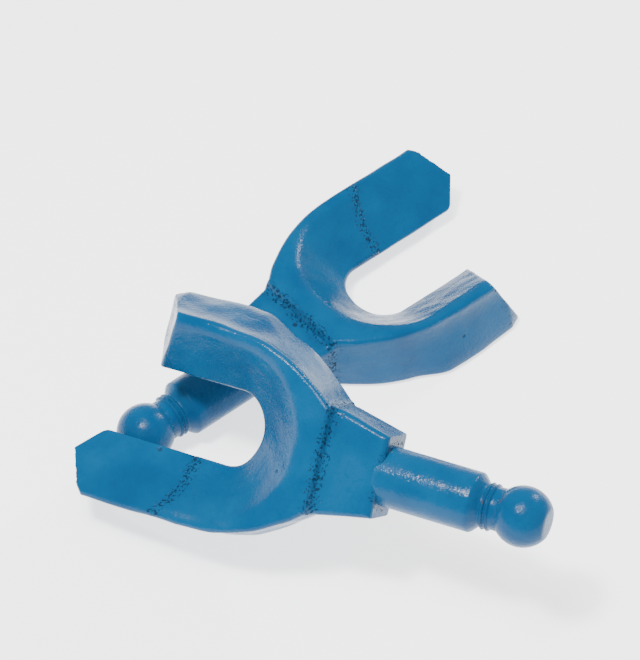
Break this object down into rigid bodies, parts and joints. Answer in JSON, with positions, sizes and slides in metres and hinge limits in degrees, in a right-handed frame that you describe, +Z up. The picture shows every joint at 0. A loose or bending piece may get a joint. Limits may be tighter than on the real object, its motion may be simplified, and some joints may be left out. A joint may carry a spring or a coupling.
{
  "type": "scaffold coupler fork pair",
  "caption": "Two forged steel forks with ball-ended shanks and U-shaped jaws, one lying flat and one leaning on it, in blue paint.",
  "frame": {"origin": "centre of the pair's footprint, on the surface they lie on", "axes": "+Z up, +X along the flat-lying fork from its ball towards its jaw, +Y square to that"},
  "size_m": [0.2506, 0.2245, 0.0925],
  "materials": {
    "rear_paint": "gloss",
    "front_paint": "gloss"
  },
  "bodies": {
    "rear_fork": {"rear_fork": "rear_paint"},
    "front_fork": {"front_fork": "front_paint"}
  },
  "joints": [
    {"name": "lift_front", "type": "slide", "parent": "rear_fork", "child": "front_fork", "axis": [0, 0, 1], "range_m": [0, 0.15]}
  ]
}
